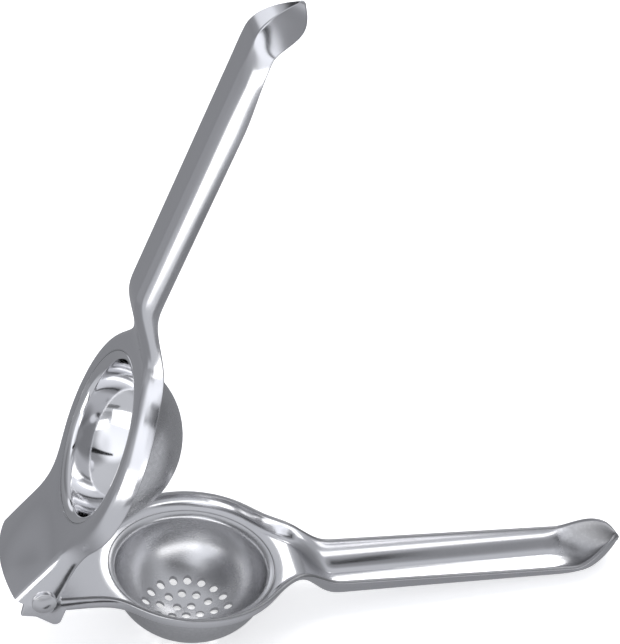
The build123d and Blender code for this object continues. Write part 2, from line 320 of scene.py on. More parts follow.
def strip(one, two):
    """Quads between two equally long rows of point numbers."""
    return np.column_stack([one[:-1], one[1:], two[1:], two[:-1]])


def wall_quads(edges, first, second):
    """Quads that stand on pairs of points, from the copy of the points that starts at number
    first to the copy that starts at number second."""
    a, b = edges[:, 0], edges[:, 1]
    return np.column_stack([a + first, b + first, b + second, a + second])


def rim_edges(grid, gone):
    """Pairs of points between a cell that goes and a cell that stays."""
    i, j = np.nonzero(gone[:, :-1] != gone[:, 1:])
    across = np.column_stack([grid[i, j + 1], grid[i + 1, j + 1]])
    i, j = np.nonzero(gone[:-1, :] != gone[1:, :])
    return np.concatenate([across, np.column_stack([grid[i + 1, j], grid[i + 1, j + 1]])])


def onto_circle(points, hit, centre, radius, gap):
    """Moves the hit points in plan, straight away from the centre: each distance from it grows by
    the radius over gap, so that a point at the distance gap comes to lie on the circle."""
    scale = np.where(hit, radius / np.maximum(gap, 1e-6), 1)
    for axis in (0, 1):
        moved = centre[axis] + (points[:, axis] - centre[axis]) * scale
        points[:, axis] = np.where(hit, moved, points[:, axis])


def from_cup_axis(points):
    """Each point's distance in plan from the axis of the cups."""
    return np.hypot(points[:, 0] - CUP_X, points[:, 1])


# ---------------------------------------------------------------- forms of the pressings


def plan_half(x, ring, hinge_half, hinge_fillet, handle_half, neck_fillet):
    """Half the width at x: a circle round the cup, a straight band on either side of it, and
    between them the arc of a fillet circle that touches both."""
    along = x - CUP_X
    half = np.where(along > 0, handle_half, hinge_half)
    fillet = np.where(along > 0, neck_fillet, hinge_fillet)
    along = np.abs(along)
    centre = np.sqrt((ring + fillet) ** 2 - (half + fillet) ** 2)
    on_ring = np.sqrt(np.maximum(ring**2 - along**2, 0))
    on_fillet = half + fillet - np.sqrt(np.maximum(fillet**2 - (centre - along) ** 2, 0))
    return np.where(along < centre * ring / (ring + fillet), on_ring,
                    np.where(along < centre, on_fillet, half))


def bare_wall_line(x, form):
    """Half width and height of the wall's edge at x, the same of its foot, the outer rounding and
    the arch of the web. The walls step down in the neck with a smooth step. With s from 0 to 1
    along the spoon end, the width shrinks by a power of (1 - s squared), the edge swells up by a
    smooth step, and the floor curls up to it with the square of the way."""
    step = ease(x, *form["neck"])
    handle = np.maximum(x - form["neck"][1], 0)
    start, tip = form["spoon"]
    share = np.clip((x - start) / (tip - start), 0, TIP_SHARE)
    width = (1 - share**2) ** TIP_POWER
    swell_start, tip_drop = form["rim"]
    swell = RIM_SWELL * ease(share, swell_start, RIM_FULL)
    swell = swell - tip_drop * np.maximum((share - RIM_FULL) / (1 - RIM_FULL), 0) ** 2
    sink_start, sink_end, depth = form["dip"]
    rise = form["edge_rise"] * handle - depth * ease(x, sink_start, sink_end)
    level = form["flange"] + (form["floor"] + form["wall"] - form["flange"]) * step
    edge = level + rise + swell

    # the tongue: a straight slope, led in by a parabola over TONGUE_BEND on either side
    way = form["tongue"][0] - x
    way = np.where(np.abs(way) < TONGUE_BEND, (way + TONGUE_BEND) ** 2 / (4 * TONGUE_BEND),
                   np.maximum(way, 0))
    floor = form["floor"] * step + form["floor_rise"] * handle - form["tongue"][1] * way
    curl = np.maximum((share - CURL_START) / (1 - CURL_START), 0) ** 2
    tip_floor = level + form["follow"] * rise + RIM_SWELL - tip_drop - TIP_WALL
    floor = floor + (tip_floor - floor) * curl

    ends = (form["hinge_half"], form["hinge_fillet"])
    edge_half = plan_half(x, form["ring_edge"], *ends, HANDLE_EDGE, form["neck_fillet"]) * width
    foot_half = plan_half(x, form["ring_foot"], *ends, HANDLE_FOOT, form["neck_fillet"]) * width
    corner = form["corner"][0] + (form["corner"][1] - form["corner"][0]) * step
    corner = (HINGE_CORNER + (corner - HINGE_CORNER) * ease(x, *HINGE_ENDS)) * width
    arch = form["crown"][1] * ease(-x, -form["crown"][0], -form["web_end"])
    return edge_half, edge, foot_half, floor, corner, arch


def wall_line(x, form):
    """The walls at x, blended along the lever so that no bend is a crease: the weighted mean of
    five places, the farthest as far away as the blend reaches, which is nothing where the web
    ends."""
    reach = ease(-x, -form["spoon"][0], -form["neck"][1] - BLEND_RAMP)
    reach = BLEND_LEAST + BLEND_MORE * reach
    reach = reach * ease(x, form["web_end"], form["web_end"] + BLEND_RAMP)
    places = zip((1, 4, 6, 4, 1), (-1, -0.5, 0, 0.5, 1))
    return sum(np.array(bare_wall_line(x + reach * k, form)) * w / 16 for w, k in places)


def trough(x, form, sheet, inside):
    """Half sections at x, each point as y and z: the edge, the foot, the points where the wall's
    and the web's lines end at the rounded corner, the push that makes the wall swell, and the
    height at which the web's line would reach the middle. For the inside, the wall's and the web's
    lines are moved in by the sheet's thickness, times the root of 1 plus the square of their slope
    along the lever, and the foot is where they then cross."""
    ey, ez, fy, fz, corner, arch = wall_line(x, form)
    top, mz = ez, fz - 2 * arch
    length, uy, uz = unit(ey - fy, ez - fz)
    _, ay, az = unit(-fy, mz - fz)
    step = ease(x, *form["neck"])
    spoon = ease(x, *(form["spoon"][0] + lead for lead in SPOON_FORM))
    corner = np.minimum(corner + spoon * form["scoop"], CORNER_MOST * length)
    belly = (form["belly"][0] + (form["belly"][1] - form["belly"][0]) * step) * (1 - spoon)
    if inside:
        ahead, behind = wall_line(x + 0.5, form), wall_line(x - 0.5, form)
        wall = sheet * np.hypot(1, ahead[0] - behind[0])
        web = sheet * np.hypot(1, ahead[3] - behind[3])
        ey, ez = ey - uz * wall, ez + uy * wall
        wy, wz = fy + az * web, fz - ay * web
        share = (uy * (ez - wz) - uz * (ey - wy)) / (uy * az - uz * ay)
        fy, fz = np.maximum(wy + ay * share, LEAST_FOOT), wz + az * share
        ey, ez = np.maximum(ey + (top - ez) * uy / uz, LEAST_EDGE), top
        mz = fz - az * fy / ay
        length, uy, uz = unit(ey - fy, ez - fz)
        corner = form["hollow"][0] + (form["hollow"][1] - form["hollow"][0]) * step
        most = HOLLOW_MOST * length
        corner = np.minimum(corner + (most - corner) * spoon, most)
    web_corner = np.minimum(corner, WEB_MOST * fy)
    push = belly * (length - corner) * 2
    return dict(
        edge=(ey, ez), foot=(fy, fz), wall_end=(fy + uy * corner, fz + uz * corner),
        web_end=(fy + ay * web_corner, fz + az * web_corner), belly=(uz * push, -uy * push),
        middle=mz,
    )


def half_profile(points, round_edge, flat_half):
    """Half sections as rows of points, from the edge to the middle of the web: a wall that swells
    out by a quadratic curve, another one round the corner that leaves the wall in the wall's own
    direction, a straight step to flat_half, and the web, a parabola over the width that starts
    along the web's line."""
    (ey, ez), (wy, wz), (fy, fz), (vy, vz), (by, bz) = (
        points[key] for key in ("edge", "wall_end", "foot", "web_end", "belly")
    )
    # the corner's control point: where the wall's direction at its end crosses the web's line
    ty, tz, ay, az = wy - ey - 2 * by, wz - ez - 2 * bz, vy - fy, vz - fz
    share = ((fy - wy) * az - (fz - wz) * ay) / (ty * az - tz * ay)
    cy, cz = wy + ty * share, wz + tz * share
    t = np.linspace(0, 1, WALL_CELLS + 1)[:, None]
    wall_y = ey * (1 - t) + wy * t + by * 2 * t * (1 - t)
    wall_z = (ez - round_edge) * (1 - t) + wz * t + bz * 2 * t * (1 - t)
    t = np.linspace(0, 1, CORNER_CELLS + 1)[1:, None]
    bend_y, bend_z = quadratic(wy, cy, vy, t), quadratic(wz, cz, vz, t)
    web_y = flat_half * np.linspace(1, 0, WEB_CELLS + 1)[:, None]
    web_z = vz + (points["middle"] - vz) * (1 - (web_y / vy) ** 2) / 2
    return np.concatenate([wall_y, bend_y, web_y]).T, np.concatenate([wall_z, bend_z, web_z]).T


def both_halves(x, y, z):
    """The half sections at x and their mirror images as rows of points, the middle used once."""
    y, z = np.concatenate([y, -y[:, -2::-1]], 1), np.concatenate([z, z[:, -2::-1]], 1)
    return np.stack([np.repeat(x[:, None], y.shape[1], 1), y, z], -1).reshape(-1, 3)


def stations(form):
    """Places along a lever: at even steps, and in the spoon end by the sine of equal angles, so
    that they close up towards the tip."""
    start, tip = form["spoon"][0] - SPOON_LEAD, form["spoon"][1]
    turn = np.linspace(0, 1, SPOON_STATIONS) * math.pi / 2
    spoon = start + (tip - start) * np.sin(turn)
    return np.concatenate([np.arange(form["web_end"], start, STATION_STEP), spoon])


def lever_surface(form, sizes):
    """Closed shell of one lever: its outside and its inside as two grids over the same stations
    and the same places on the web, joined by a rounded strip along the edges, by the faces at
    either end, and by the wall of the mouth. Returns points, quads, loops of the faces with more
    corners, and each point's distance to the nearest edge of the sheet."""
    seam, mouth = mm(sizes.seam), mm(sizes.mouth)
    along = stations(form)
    setback = TIP_SETBACK * ease(along, *form["spoon"])
    outer = trough(along, form, mm(sizes.sheet), False)
    inner = trough(along - setback, form, mm(sizes.sheet), True)
    flat_half = np.minimum(outer["web_end"][0], inner["web_end"][0]) * FLAT_SHARE
    top = outer["edge"][1]
    round_edge = np.minimum(mm(sizes.edge_round), ROUND_MOST * (top - outer["wall_end"][1]))
    outside = both_halves(along, *half_profile(outer, round_edge, flat_half))
    inside = both_halves(along - setback, *half_profile(inner, round_edge, flat_half))
    rows = len(along)
    total = len(outside)
    cols = total // rows
    grid = np.arange(total).reshape(rows, cols)

    # the mouth: cells of the web inside the circle go, the points of those it crosses move onto it
    reach = from_cup_axis(outside)
    side = WALL_CELLS + CORNER_CELLS + 1
    web = np.zeros(cols, bool)
    web[side: cols - side] = True
    hit = (reach < mouth + seam) & np.tile(web, rows)
    quads = cells(grid)
    gone = hit[quads].all(-1)
    for points in (outside, inside):
        onto_circle(points, hit, (CUP_X, 0), mouth + seam, reach)
    sunk = np.clip(1 - (from_cup_axis(outside) - mouth) / DISH_WIDTH, 0, 1) ** 2
    for points in (outside, inside):
        points[:, 2] += form["dish"] * sunk
    vertices, faces = [outside, inside], [quads[~gone], quads[~gone][:, ::-1] + total]

    # wall of the mouth, with a small bevel at either face of the web
    turn = np.arctan2(outside[:, 1], outside[:, 0] - CUP_X)
    bore = np.stack([CUP_X + mouth * np.cos(turn), mouth * np.sin(turn)], -1)
    vertices.append(np.column_stack([bore, outside[:, 2] + seam]))
    vertices.append(np.column_stack([bore, inside[:, 2] - seam]))
    low, high, base = 2 * total, 3 * total, 4 * total
    edges = rim_edges(grid, gone)
    for first, second in ((0, low), (low, high), (high, total)):
        faces.append(wall_quads(edges, first, second))

    # rounded strip over the edge of either wall: half an ellipse from the outside to the inside
    strips = []
    for column in (grid[:, 0], grid[:, -1]):
        p, q = outside[column], inside[column]
        lines = [column]
        for turn in np.linspace(0, math.pi, EDGE_FACETS + 1)[1:-1]:
            points = (p + q) / 2 + (p - q) / 2 * np.cos(turn)
            points[:, 2] += round_edge * np.sin(turn)
            vertices.append(points)
            lines.append(base + np.arange(rows))
            base += rows
        lines.append(column + total)
        faces += [strip(one, two) for one, two in zip(lines[:-1], lines[1:])]
        strips.append(lines)

    # the faces at the hinge and at the tip, and the ends of the rounded strips
    faces += [strip(grid[row], grid[row] + total) for row in (0, -1)]
    loops = [[line[end] for line in lines] for end in (0, -1) for lines in strips]

    # distance to the edge; the inside of the spoon end is satin and darker, as if an edge were
    # near:
    #     satin steel with painted shade in its hollow
    vertices, faces = np.concatenate(vertices), np.concatenate(faces)
    faced = vertices[: 2 * total]
    gap = np.zeros(len(vertices))
    gap[: 2 * total] = np.minimum(np.tile(np.repeat(top, cols), 2) - faced[:, 2],
                                  np.abs(from_cup_axis(faced) - mouth - seam) + MOUTH_WEAR)
    satin = ease(inside[:, 0], *(form["spoon"][0] + lead for lead in SPOON_SATIN_AND_SHADE))
    satin = np.where(satin > 0, SPOON_WEAR_AND_SHADE * (1 - satin), np.inf)
    gap[total: 2 * total] = np.minimum(gap[total: 2 * total], satin)

    used = np.zeros(len(vertices), bool)
    used[faces] = True
    number = np.cumsum(used) - 1
    return vertices[used], number[faces], [number[loop] for loop in loops], np.maximum(gap[used], 0)


def hull_outline(circles, count):
    """Outline of the band stretched round some circles: in each direction the farthest point of
    the circle that reaches farthest that way. Returns the points and their outward normals."""
    centres, radii = np.array(circles)[:, :2], np.array(circles)[:, 2]
    angle = np.linspace(0, 2 * math.pi, count, endpoint=False)
    normal = np.column_stack([np.cos(angle), np.sin(angle)])
    best = np.argmax(normal @ centres.T + radii, 1)
    return centres[best] + radii[best, None] * normal, normal


def plate(circles, planes):
    """Closed plate between two planes: the outline of the circles, its edge bevelled in two facets
    on either side, each ring set in along the outline's own normal."""
    outline, normal = hull_outline(circles, EAR_POINTS)
    low, high = sorted(planes)
    bevel, facet = EAR_BEVEL, EAR_BEVEL * EAR_FACET
    rings = []
    for inset, y in ((bevel, low), (facet, low + facet), (0, low + bevel),
                     (0, high - bevel), (facet, high - facet), (bevel, high)):
        place = outline - normal * inset
        rings.append(np.column_stack([place[:, 0], np.full(EAR_POINTS, y), place[:, 1]]))
    grid = np.arange(len(rings) * EAR_POINTS).reshape(-1, EAR_POINTS)
    after = np.roll(grid, -1, 1)
    quads = np.stack([grid[:-1], after[:-1], after[1:], grid[1:]], -1).reshape(-1, 4)
    return np.concatenate(rings), quads, [grid[0], grid[-1]], np.full(grid.size, FAR)


# ---------------------------------------------------------------- forms of the cups and rivets


def cup_profile(radii, reaches, lip, rims, foot, start, edge):
    """Half sections of a cup's inner and outer face with the same count: equal radii out to
    EVEN_OUT, on an ellipse of the face's radius and reach that is cut flat inside the foot, then
    the rest of the ellipse at equal angles up to the lip, then the lip's quadratic curve out to
    the edge. A lip above the web's outer face makes the cup rise, one below it makes it hang."""
    turn = 1 if lip > 0 else -1
    near = np.linspace(start, EVEN_OUT, CUP_ROWS[0])
    t = np.linspace(0, 1, CUP_ROWS[2])[1:]
    sections = []
    for radius, reach, rim in zip(radii, reaches, rims):
        near_z = lip + turn * reach * np.sqrt(1 - (np.maximum(near, foot) / radius) ** 2)
        angle = np.linspace(math.acos(EVEN_OUT / radius), 0, CUP_ROWS[1])[1:]
        far, far_z = radius * np.cos(angle), lip + turn * reach * np.sin(angle)
        rim = rim + turn * LIP_RISE
        lip_r = quadratic(radius, radius, edge, t)
        lip_z = quadratic(lip, rim + turn * LIP_BEND * (edge - radius), rim, t)
        sections.append(np.column_stack([
            np.concatenate([near, far, lip_r]), np.concatenate([near_z, far_z, lip_z])
        ]))
    return sections


def cup_surface(profiles, bevel, holes):
    """Closed shell of a cup: both half sections turned about the cup's axis, joined by a bevelled
    band at the rim and by the walls of the drain holes. Cells inside a hole go, and the points of
    the cells that its circle crosses move onto it, with their heights from the section again."""
    inner, outer = profiles
    rows, cols = len(inner), CUP_SECTORS + 1
    angle = np.linspace(0, 2 * math.pi, cols)
    shells = []
    for section in profiles:
        r, z = np.repeat(section[:, :1], cols, 1), np.repeat(section[:, 1:], cols, 1)
        shells.append(np.stack([r * np.cos(angle), r * np.sin(angle), z], -1).reshape(-1, 3))
    total = rows * cols
    grid = np.arange(total).reshape(rows, cols)
    hit = np.zeros(total, bool)
    for x, y, radius in holes:
        gap = np.hypot(shells[0][:, 0] - x, shells[0][:, 1] - y)
        own = (gap < radius) & (np.repeat(inner[:, 0], cols) < EVEN_OUT)
        hit |= own
        for points, section in zip(shells, profiles):
            onto_circle(points, own, (x, y), radius, gap)
            height = np.interp(np.hypot(points[:, 0], points[:, 1]), section[:, 0], section[:, 1])
            points[:, 2] = np.where(own, height, points[:, 2])
    quads = cells(grid)
    gone = hit[quads].all(-1)
    faces = [quads[~gone], quads[~gone][:, ::-1] + total]
    if holes:
        middle = np.column_stack([grid[0, :-1], grid[0, 1:]])
        faces.append(wall_quads(np.concatenate([rim_edges(grid, gone), middle]), 0, total))

    # the rim: both shells end one bevel short of the edge, with a band between them
    edge = inner[-1, 0]
    way = bevel if outer[-1, 1] > inner[-1, 1] else -bevel
    for points in shells:
        points[grid[-1], :2] *= (edge - bevel) / edge
    band = [np.column_stack([edge * np.cos(angle), edge * np.sin(angle), np.full(cols, height)])
            for height in (inner[-1, 1] + way, outer[-1, 1] - way)]
    ring = 2 * total + np.arange(cols)
    rings = [grid[-1], ring, ring + cols, grid[-1] + total]
    faces += [strip(one, two) for one, two in zip(rings[:-1], rings[1:])]
    vertices = np.concatenate(shells + band) + [CUP_X, 0, 0]

    # the outer face is satin all over, as if an edge were near
    satin = np.full(len(vertices), FAR)
    satin[total: 2 * total] = CUP_WEAR
    return vertices, np.concatenate(faces), [], satin


def turned(profile, sectors):
    """A half section of radius and height turned about the Y axis, poles closed by merging."""
    angle = np.linspace(0, 2 * math.pi, sectors + 1)
    r, y = profile[:, :1], profile[:, 1:]
    points = np.stack([r * np.cos(angle), np.repeat(y, sectors + 1, 1), r * np.sin(angle)], -1)
    grid = np.arange(len(profile) * (sectors + 1)).reshape(len(profile), -1)
    return points.reshape(-1, 3), cells(grid).reshape(-1, 4), [], np.full(grid.size, FAR)


def rivet_profile():
    """Half section of a rivet as radius and distance from the middle of the squeezer, from the
    closed tail to the crown of the head: a chamfered tail inside the ear, a shank, and a head
    whose face is an arc behind a rounded shoulder."""
    head, tall, dome, shoulder = 4.2, 2.4, 1.2, 0.35
    shank, tail, under = 2.5, 4.0, 0.15
    start = UPPER["hinge_half"] + 0.1
    ball = (head**2 + dome**2) / (2 * dome)
    arc = np.linspace(math.asin((head - shoulder) / ball), 0, 16)
    crown = np.column_stack([ball * np.sin(arc), start + tall - ball + ball * np.cos(arc)])
    turn = np.linspace(0, math.pi / 2, 7)
    bend = np.column_stack([head - shoulder + shoulder * np.cos(turn),
                            crown[0, 1] - shoulder + shoulder * np.sin(turn)])
    body = [(0, 17.7), (2.6, 17.7), (3.1, 17.78), (3.86, 18.72), (tail, 18.86), (tail, 19.17),
            (shank, 19.17), (shank, 22.0), (shank, start), (head - under, start),
            (head, start + under)]
    return np.concatenate([np.array(body), bend[:-1], crown])


# ---------------------------------------------------------------- meshes


def to_stand(points, sizes, body):
    """From a lever's own frame to the stand: the upper one is turned over and opened about the
    hinge line, then both lean and move so that the hinge line is where the frame has it."""
    x, y, z = points[:, 0], points[:, 1], points[:, 2]
    if body == "upper":
        c, s, lift = math.cos(sizes.opening), math.sin(sizes.opening), z - PIN_UPPER
        x, y, z = x * c + lift * s, -y, x * s - lift * c + PIN_LOWER
    c, s = math.cos(sizes.lean), math.sin(sizes.lean)
    z = z - PIN_LOWER
    return np.column_stack([x * c + z * s + HINGE[0], y, -x * s + z * c + HINGE[2]])


def grain(sizes, body):
    """Turn that lays the polishing lines along a body's handle."""
    return 0, (sizes.opening if body == "upper" else 0) - sizes.lean, 0


def put_mesh(name, parts, sizes, body, nodes, material):
    """One object from closed shells in a lever's own frame: merge, turn the faces out, shade
    smooth. Each part is points, quads, loops of the other faces, and distances to the edge."""
    vertices, faces, gaps, base = [], [], [], 0
    for points, quads, loops, gap in parts:
        vertices.append(to_stand(points, sizes, body) * MM)
        faces += (quads + base).tolist() + [(np.array(loop) + base).tolist() for loop in loops]
        gaps.append(gap)
        base += len(points)
    mesh = bpy.data.meshes.new(name)
    mesh.from_pydata(np.concatenate(vertices), [], faces)
    mesh.attributes.new("edge_gap", "FLOAT", "POINT").data.foreach_set(
        "value", np.concatenate(gaps).astype(np.float32)
    )
    work = bmesh.new()
    work.from_mesh(mesh)
    bmesh.ops.remove_doubles(work, verts=work.verts, dist=MERGE)
    bmesh.ops.dissolve_degenerate(work, dist=SLIVER, edges=work.edges)
    bmesh.ops.recalc_face_normals(work, faces=work.faces)
    work.to_mesh(mesh)
    work.free()
    mesh.polygons.foreach_set("use_smooth", np.ones(len(mesh.polygons), bool))
    mesh.set_sharp_from_angle(angle=math.radians(SHARP))
    mesh.materials.append(material)
    mesh.update()
    piece = bpy.data.objects.new(name, mesh)
    bpy.context.scene.collection.objects.link(piece)
    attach(piece, body)
    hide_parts(*nodes)
    return piece


def put_lever(name, form, body, nodes):
    """A lever: its pressing, and on either side the plate that the rivet goes through."""
    sizes, finish = scene_settings()
    parts = [lever_surface(form, sizes)]
    for side in (-1, 1):
        parts.append(plate(form["ear_circles"], [side * plane for plane in form["ears"]]))
    material = steel(f"Polished {body} lever", finish.sheet_color, rough=finish.polish,
                     lines=finish.brushing, turn=grain(sizes, body))
    put_mesh(name, parts, sizes, body, nodes, material)


# ---------------------------------------------------------------- materials


def shared_group(name, build, inputs, outputs):
    """A shader node group with named inputs and outputs, built at its first use. Inputs are
    label, kind (f float, v vector) and default, outputs are label and kind."""
    if name in bpy.data.node_groups:
        return bpy.data.node_groups[name]
    kinds = {"f": "NodeSocketFloat", "v": "NodeSocketVector"}
    group = bpy.data.node_groups.new(name, "ShaderNodeTree")
    for label, kind, value in inputs:
        socket = group.interface.new_socket(label, in_out="INPUT", socket_type=kinds[kind])
        if value is not None:
            socket.default_value = value
    for label, kind in outputs:
        group.interface.new_socket(label, in_out="OUTPUT", socket_type=kinds[kind])
    take = group.nodes.new("NodeGroupInput").outputs
    give = group.nodes.new("NodeGroupOutput").inputs
    build(group, take, give)
    return group


def feed(tree, socket, value):
    """Gives a socket a value of its own, or links it to the output that is passed."""
    if isinstance(value, bpy.types.NodeSocket):
        tree.links.new(value, socket)
    else:
        socket.default_value = value


def math_node(tree, operation, *values):
    """Output of a math node fed with numbers or outputs."""
    node = tree.nodes.new("ShaderNodeMath")
    node.operation = operation
    for socket, value in zip(node.inputs, values):
        feed(tree, socket, value)
    return node.outputs[0]


def noise_node(tree, place, scale, detail):
    """Output of a noise from 0 to 1 over a place."""
    node = tree.nodes.new("ShaderNodeTexNoise")
    for label, value in (("Vector", place), ("Scale", scale), ("Detail", detail)):
        feed(tree, node.inputs[label], value)
    return node.outputs["Fac"]


def smooth_step_node(tree, value, start, end, low, high):
    """Output of a smooth step of the value, from low at start to high at end."""
    node = tree.nodes.new("ShaderNodeMapRange")
    node.interpolation_type = "SMOOTHSTEP"
    for label, number in (("Value", value), ("From Min", start), ("From Max", end),
                          ("To Min", low), ("To Max", high)):
        feed(tree, node.inputs[label], number)
    return node.outputs[0]


def group_node(tree, group, **values):
    """Outputs of a node group placed in a material with the values given by label."""
    node = tree.nodes.new("ShaderNodeGroup")
    node.node_tree = group
    for label, value in values.items():
        feed(tree, node.inputs[label], value)
    return node.outputs


def polishing_lines(group, take, give):
    """Fine lines left by the polishing belt: noise stretched a hundredfold along the first axis,
    over a broader noise of the same kind, as a height from 0 to 1."""
    heights = []
    for share, stretch in ((1.0, 0.012), (0.22, 0.03)):
        scale = group.nodes.new("ShaderNodeVectorMath")
        scale.operation = "MULTIPLY"
        scale.inputs[1].default_value = (stretch, 1, 1)
        group.links.new(take["Place"], scale.inputs[0])
        fineness = math_node(group, "MULTIPLY", take["Fineness"], share)
        heights.append(noise_node(group, scale.outputs[0], fineness, 2))
    fine = math_node(group, "MULTIPLY", heights[0], 0.6)
    feed(group, give["Height"], math_node(group, "MULTIPLY_ADD", heights[1], 0.4, fine))


def handling_marks(group, take, give):
    """Faint smudges and press waviness: a soft noise for roughness, a broad one for the bump."""
    for label, share, detail in (("Smudge", 1.0, 5), ("Wave", 0.7, 1)):
        size = math_node(group, "MULTIPLY", take["Size"], share)
        feed(group, give[label], noise_node(group, take["Place"], size, detail))


def edge_rub(group, take, give):
    """Mask of the satin band that deburring leaves along a sheet's edge: 1 at the edge, 0 about
    one width away, broken up by noise."""
    share = math_node(group, "DIVIDE", take["Gap"], take["Width"])
    noise = noise_node(group, take["Place"], 900, 2)
    share = math_node(group, "ADD", share, math_node(group, "MULTIPLY", noise, 0.5))
    clamp = group.nodes.new("ShaderNodeClamp")
    feed(group, clamp.inputs[0], math_node(group, "SUBTRACT", 1.25, share))
    feed(group, give["Mask"], clamp.outputs[0])


def steel(name, color, rough, lines, turn, smudge=0.06, rub=0.25):
    """Steel with polishing lines along the turned first axis, smudges and press waviness, and
    darker, duller steel where the edges are rubbed; lines, smudge and rub say how strongly."""
    material = bpy.data.materials.new(name)
    material.use_nodes = True
    tree = material.node_tree
    shader = tree.nodes["Principled BSDF"]
    shader.inputs["Metallic"].default_value = 1.0
    coords = tree.nodes.new("ShaderNodeTexCoord")
    mapping = tree.nodes.new("ShaderNodeMapping")
    mapping.inputs["Rotation"].default_value = turn
    tree.links.new(coords.outputs["Object"], mapping.inputs["Vector"])
    place = mapping.outputs[0]
    gap = tree.nodes.new("ShaderNodeAttribute")
    gap.attribute_name = "edge_gap"

    group = shared_group("Polishing lines", polishing_lines,
                         [("Place", "v", None), ("Fineness", "f", 9000.0)], [("Height", "f")])
    line = group_node(tree, group, Place=place, Fineness=9000.0)["Height"]
    group = shared_group("Handling marks", handling_marks,
                         [("Place", "v", None), ("Size", "f", 60.0)],
                         [("Smudge", "f"), ("Wave", "f")])
    marks = group_node(tree, group, Place=place, Size=60.0)
    group = shared_group("Edge rub", edge_rub,
                         [("Gap", "f", FAR), ("Width", "f", 0.8), ("Place", "v", None)],
                         [("Mask", "f")])
    mask = group_node(tree, group, Gap=gap.outputs["Fac"], Width=0.8, Place=place)["Mask"]

    tint = tree.nodes.new("ShaderNodeMix")
    tint.data_type = "RGBA"
    tint.inputs["A"].default_value = (*color, 1)
    tint.inputs["B"].default_value = (*(0.5 * value for value in color), 1)
    feed(tree, tint.inputs["Factor"], mask)
    feed(tree, shader.inputs["Base Color"], tint.outputs["Result"])

    total = math_node(tree, "MULTIPLY_ADD", marks["Smudge"], smudge, rough - smudge / 2)
    total = math_node(tree, "MULTIPLY_ADD", mask, rub, total)
    total = math_node(tree, "MULTIPLY_ADD", line, lines, total)
    feed(tree, shader.inputs["Roughness"], total)

    height = math_node(tree, "MULTIPLY", line, lines)
    height = math_node(tree, "MULTIPLY_ADD", marks["Wave"], 0.4, height)
    bump = tree.nodes.new("ShaderNodeBump")
    bump.inputs["Strength"].default_value = 0.35
    bump.inputs["Distance"].default_value = 0.0001
    feed(tree, bump.inputs["Height"], height)
    feed(tree, shader.inputs["Normal"], bump.outputs[0])
    return material


def card_paint(name, level):
    """Glow of a reflector card: 1.3 times its level in front of the object, 0.6 times behind it,
    with a smooth step over 80 mm in between. On Card_table the dimmer glow behind and under the
    object is painted shade: the squeezer's shadow on the table, as the steel mirrors it."""
    glow = bpy.data.materials.new(name)
    glow.use_nodes = True
    tree = glow.node_tree
    shader = tree.nodes["Principled BSDF"]
    shader.inputs["Base Color"].default_value = (0, 0, 0, 1)
    shader.inputs["Specular IOR Level"].default_value = 0
    shader.inputs["Emission Color"].default_value = DAYLIGHT
    coords = tree.nodes.new("ShaderNodeTexCoord")
    split = tree.nodes.new("ShaderNodeSeparateXYZ")
    feed(tree, split.inputs[0], coords.outputs["Object"])
    # painted shade: dimmer glow behind and under the object, its shadow on the table as mirrored
    shade = smooth_step_node(tree, split.outputs["Y"], 0.0, -0.08, level * 0.6, level * 1.3)
    feed(tree, shader.inputs["Emission Strength"], shade)
    return glow


def floor_paint(color, glow):
    """Matt floor that gives off a little light by itself."""
    paint = bpy.data.materials.new("Pale floor")
    paint.use_nodes = True
    shader = paint.node_tree.nodes["Principled BSDF"]
    shader.inputs["Base Color"].default_value = (*color, 1)
    shader.inputs["Roughness"].default_value = 0.9
    shader.inputs["Emission Color"].default_value = (1, 1, 1, 1)
    shader.inputs["Emission Strength"].default_value = glow
    return paint


def paint_room(tree):
    """The studio round the object: grey walls that grow lighter towards the ceiling, plus soft
    bright or dark patches, each a smooth step of the cosine between the ray and the patch."""
    coords = tree.nodes.new("ShaderNodeTexCoord")
    split = tree.nodes.new("ShaderNodeSeparateXYZ")
    feed(tree, split.inputs[0], coords.outputs["Generated"])
    total = math_node(tree, "MULTIPLY_ADD", split.outputs["Z"], ROOM_RISE, ROOM_LEVEL)
    for direction, start, full, gain in ROOM_PATCHES:
        dot = tree.nodes.new("ShaderNodeVectorMath")
        dot.operation = "DOT_PRODUCT"
        feed(tree, dot.inputs[0], coords.outputs["Generated"])
        dot.inputs[1].default_value = Vector(direction).normalized()
        step = smooth_step_node(tree, dot.outputs["Value"], start, full, 0, 1)
        total = math_node(tree, "MULTIPLY_ADD", step, gain, total)
    sky = tree.nodes["Background"]
    sky.inputs["Color"].default_value = DAYLIGHT
    feed(tree, sky.inputs["Strength"], math_node(tree, "MAXIMUM", total, ROOM_LEAST))


# ---------------------------------------------------------------- operators


class SQUEEZER_OT_lower_lever(bpy.types.Operator):
    """Lower lever: pressed ring, stepped neck, channel handle with a spoon end, two ears"""

    bl_idname = "squeezer.lower_lever"
    bl_label = "Lower lever"

    def execute(self, context):
        put_lever("Lower_lever", LOWER, "lower", ["lower_lever"])
        return {"FINISHED"}


class SQUEEZER_OT_upper_lever(bpy.types.Operator):
    """Upper lever: broader ring, crowned tongue with two cheeks, channel handle with a spoon end"""

    bl_idname = "squeezer.upper_lever"
    bl_label = "Upper lever"

    def execute(self, context):
        put_lever("Upper_lever", UPPER, "upper", ["upper_lever"])
        return {"FINISHED"}


